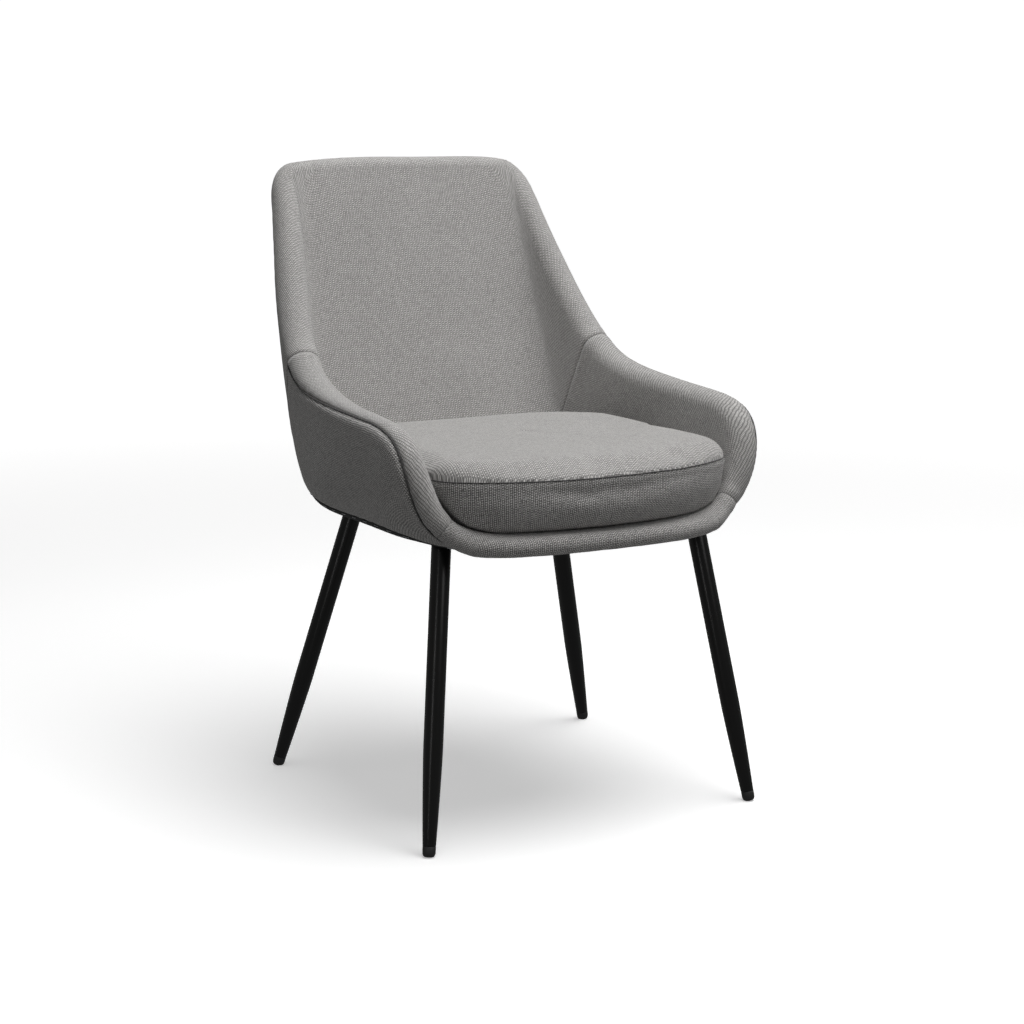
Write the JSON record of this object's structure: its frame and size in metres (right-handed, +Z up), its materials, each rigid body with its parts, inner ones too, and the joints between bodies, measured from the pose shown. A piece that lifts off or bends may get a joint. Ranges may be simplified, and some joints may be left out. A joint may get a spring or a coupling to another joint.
{
  "type": "dining chair",
  "caption": "Upholstered dining chair with a bucket shell, low sloping arms, a loose boxed seat cushion and splayed round steel legs.",
  "frame": {"origin": "on the floor, under the middle of the chair's bounding box", "axes": "+Z up, +Y towards the back of the chair (the sitter faces -Y), +X to the sitter's left"},
  "size_m": [0.5394, 0.6235, 0.842],
  "materials": {
    "upholstery": "heathered warm grey plain weave, matt",
    "lining": "black non-woven lining, matt",
    "foam": "pale open-cell foam with wadding",
    "plywood": "moulded plywood, unfinished",
    "zinc_steel": "zinc plated",
    "powder_coat": "black satin powder coat",
    "glide_plastic": "black moulded plastic"
  },
  "bodies": {
    "root": {"lip_foam": "foam", "seat_board": "plywood", "seat_pad": "foam", "under_pad": "foam", "back_board": "plywood", "back_foam": "foam", "rear_pad": "foam", "top_roll": "foam", "arm_board_left": "plywood", "arm_foam_left": "foam", "side_pad_left": "foam", "arm_roll_left": "foam", "back_roll_left": "foam", "back_strap_left": "zinc_steel", "arm_strap_front_left": "zinc_steel", "arm_strap_rear_left": "zinc_steel", "arm_cover_left": "upholstery", "side_cover_left": "upholstery", "arm_board_right": "plywood", "arm_foam_right": "foam", "side_pad_right": "foam", "arm_roll_right": "foam", "back_roll_right": "foam", "back_strap_right": "zinc_steel", "arm_strap_front_right": "zinc_steel", "arm_strap_rear_right": "zinc_steel", "arm_cover_right": "upholstery", "side_cover_right": "upholstery", "back_cover": "upholstery", "rear_cover": "upholstery", "lip_cover": "upholstery", "lip_underside": "upholstery", "pan_cover": "upholstery", "rear_apron": "upholstery", "dust_cover": "lining", "leg_front_left": "powder_coat", "leg_plug_front_left": "zinc_steel", "leg_nut_front_left": "zinc_steel", "leg_glide_front_left": "glide_plastic", "leg_front_right": "powder_coat", "leg_plug_front_right": "zinc_steel", "leg_nut_front_right": "zinc_steel", "leg_glide_front_right": "glide_plastic", "leg_rear_left": "powder_coat", "leg_plug_rear_left": "zinc_steel", "leg_nut_rear_left": "zinc_steel", "leg_glide_rear_left": "glide_plastic", "leg_rear_right": "powder_coat", "leg_plug_rear_right": "zinc_steel", "leg_nut_rear_right": "zinc_steel", "leg_glide_rear_right": "glide_plastic", "cushion_boxing": "upholstery", "cushion_top": "upholstery", "cushion_base": "lining", "cushion_core": "foam", "cushion_grip_left": "lining", "cushion_grip_right": "lining"}
  },
  "joints": []
}
